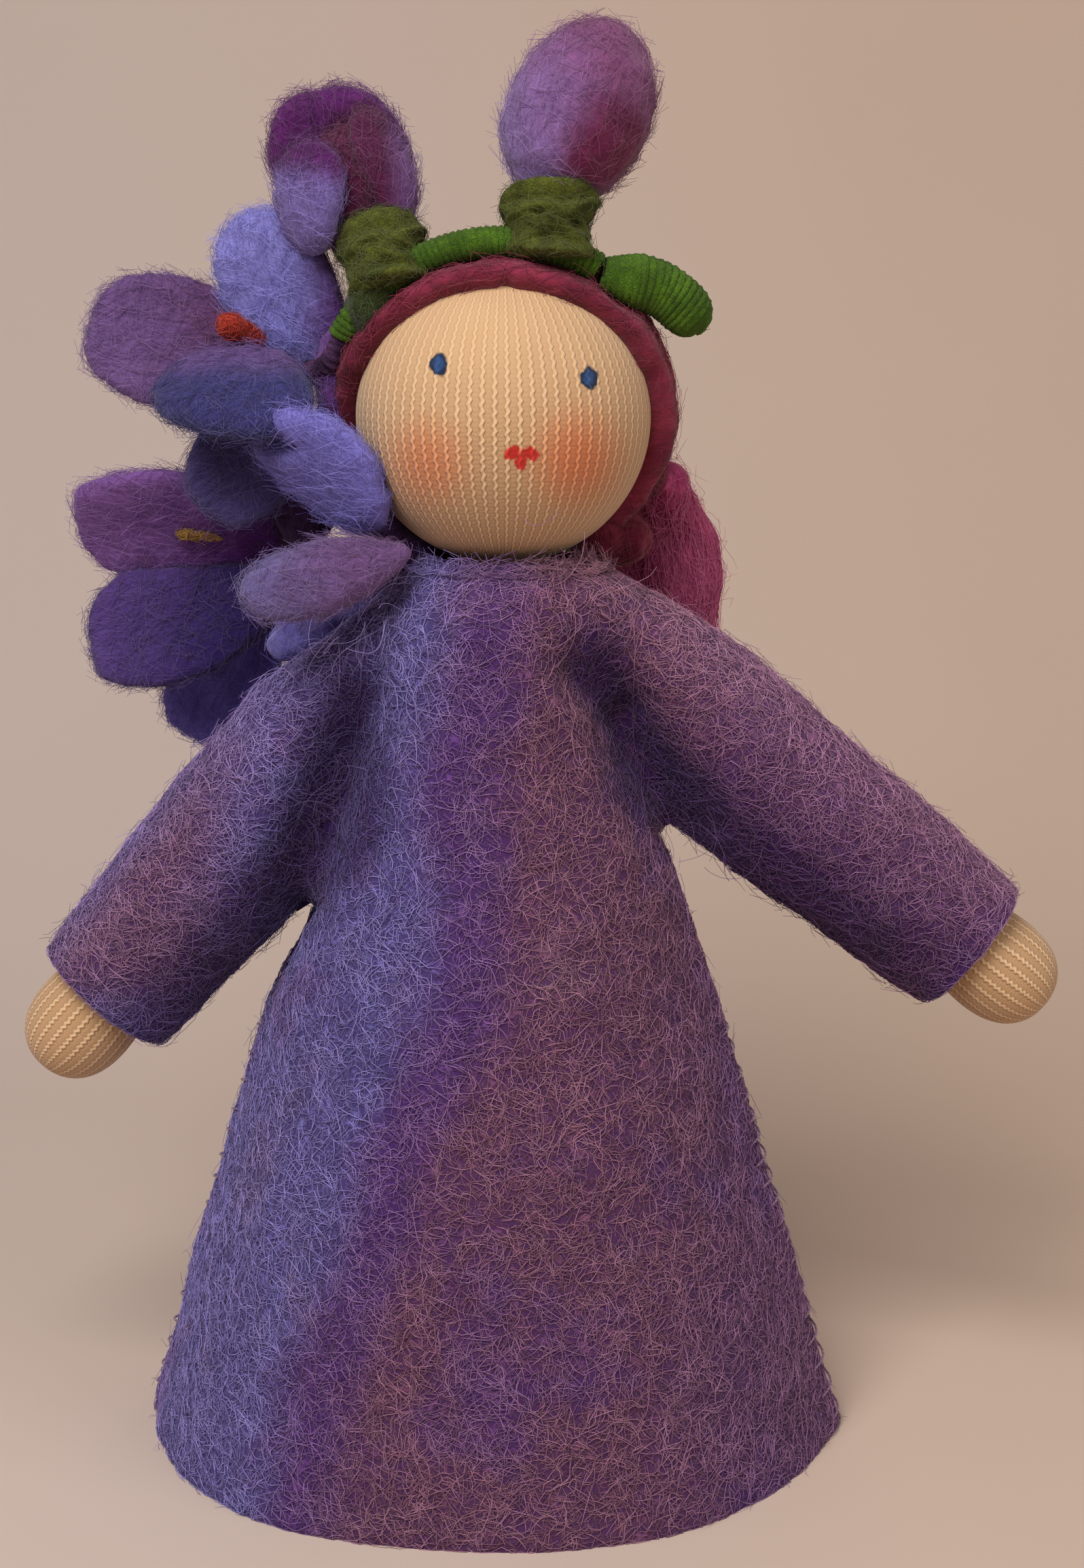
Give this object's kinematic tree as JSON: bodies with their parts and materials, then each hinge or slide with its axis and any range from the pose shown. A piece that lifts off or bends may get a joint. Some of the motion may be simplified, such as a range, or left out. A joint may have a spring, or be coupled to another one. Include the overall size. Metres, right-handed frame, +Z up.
{
  "type": "felt flower doll",
  "caption": "Small standing felt doll with a hollow cone dress, wire arms, a knitted ball head, a wool ponytail and a wreath of felted flowers.",
  "frame": {"origin": "the middle of the bounding box, on the floor that the hem stands on", "axes": "+Z up, the face towards -Y, the doll's left arm towards +X"},
  "size_m": [0.0952, 0.0568, 0.1276],
  "materials": {
    "arm_wire": "drawn wire",
    "blue_petal_felt": "felted wool",
    "dark_petal_felt": "felted wool",
    "dress_felt": "felted wool",
    "hair_wool": "felted wool",
    "jersey": "knitted jersey",
    "purple_petal_felt": "felted wool",
    "stamen_wool": "twisted wool",
    "stem_wool": "wound wool",
    "stuffing_wool": "wound wool",
    "thread": "twisted thread"
  },
  "bodies": {
    "left_arm": {"left_sleeve": "dress_felt", "left_arm_roll": "stuffing_wool", "left_arm_wire": "arm_wire", "left_hand": "jersey", "left_wrist_tie": "thread"},
    "right_arm": {"right_sleeve": "dress_felt", "right_arm_roll": "stuffing_wool", "right_arm_wire": "arm_wire", "right_hand": "jersey", "right_wrist_tie": "thread"},
    "root": {"dress_body": "dress_felt", "torso_roll": "stuffing_wool", "chest_wire": "arm_wire"},
    "neck": {"neck_roll": "stuffing_wool"},
    "head": {"head_skin": "jersey", "head_core": "stuffing_wool", "neck_tie": "thread", "wreath_stem": "stem_wool", "flower_stalk": "stem_wool", "hair_cap": "hair_wool", "hair_tie": "hair_wool", "closed_bud_calyx": "stem_wool", "half_open_calyx": "stem_wool", "side_stalk": "stem_wool", "chin_petal": "blue_petal_felt", "shoulder_petal": "purple_petal_felt"},
    "tip_bud": {"tip_bud": "stem_wool"},
    "ponytail": {"ponytail": "hair_wool"},
    "closed_bud": {"closed_bud": "purple_petal_felt"},
    "half_open": {"half_open_heart": "dark_petal_felt", "half_open_back_petal": "purple_petal_felt", "half_open_left_petal": "blue_petal_felt", "half_open_right_petal": "purple_petal_felt"},
    "upper_blossom": {"upper_front_petal": "purple_petal_felt", "upper_top_petal": "blue_petal_felt", "upper_outer_petal": "purple_petal_felt", "upper_back_petal": "blue_petal_felt", "upper_stamen": "stamen_wool"},
    "lower_blossom": {"lower_upper_petal": "purple_petal_felt", "lower_lower_petal": "purple_petal_felt", "lower_hanging_petal": "blue_petal_felt", "lower_stamen": "stamen_wool"}
  },
  "joints": [
    {"name": "left_shoulder", "type": "hinge", "parent": "root", "child": "left_arm", "pos_m": [0.00957, -0.00044, 0.0697], "axis": [0, -1, 0], "range_deg": [-8, 65]},
    {"name": "right_shoulder", "type": "hinge", "parent": "root", "child": "right_arm", "pos_m": [-0.01703, -0.00044, 0.0672], "axis": [0, 1, 0], "range_deg": [-8, 45]},
    {"name": "neck_nod", "type": "hinge", "parent": "root", "child": "neck", "pos_m": [-0.00323, -0.00044, 0.0745], "axis": [-1, 0, 0], "range_deg": [-4, 4]},
    {"name": "neck_turn", "type": "hinge", "parent": "neck", "child": "head", "pos_m": [-0.00323, -0.00044, 0.094], "axis": [0, 0, -1], "range_deg": [-12, 12]},
    {"name": "ponytail_swing", "type": "hinge", "parent": "head", "child": "ponytail", "pos_m": [0.01177, 0.01306, 0.08714], "axis": [1, 0, 0], "range_deg": [-3, 30]},
    {"name": "tip_bud_bend", "type": "hinge", "parent": "head", "child": "tip_bud", "pos_m": [0.00622, -0.00411, 0.10598], "axis": [0, -1, 0], "range_deg": [-3, 22]},
    {"name": "closed_bud_bend", "type": "hinge", "parent": "head", "child": "closed_bud", "pos_m": [0.00072, -0.00361, 0.11284], "axis": [1, 0, 0], "range_deg": [-6, 6]},
    {"name": "half_open_bend", "type": "hinge", "parent": "head", "child": "half_open", "pos_m": [-0.01529, -0.00103, 0.10932], "axis": [1, 0, 0], "range_deg": [-7, 7]},
    {"name": "upper_blossom_bend", "type": "hinge", "parent": "head", "child": "upper_blossom", "pos_m": [-0.02163, 0.00456, 0.0965], "axis": [0, 0, 1], "range_deg": [-5, 5]},
    {"name": "lower_blossom_bend", "type": "hinge", "parent": "head", "child": "lower_blossom", "pos_m": [-0.02323, 0.01106, 0.0805], "axis": [0, 0, 1], "range_deg": [-6, 6]}
  ]
}
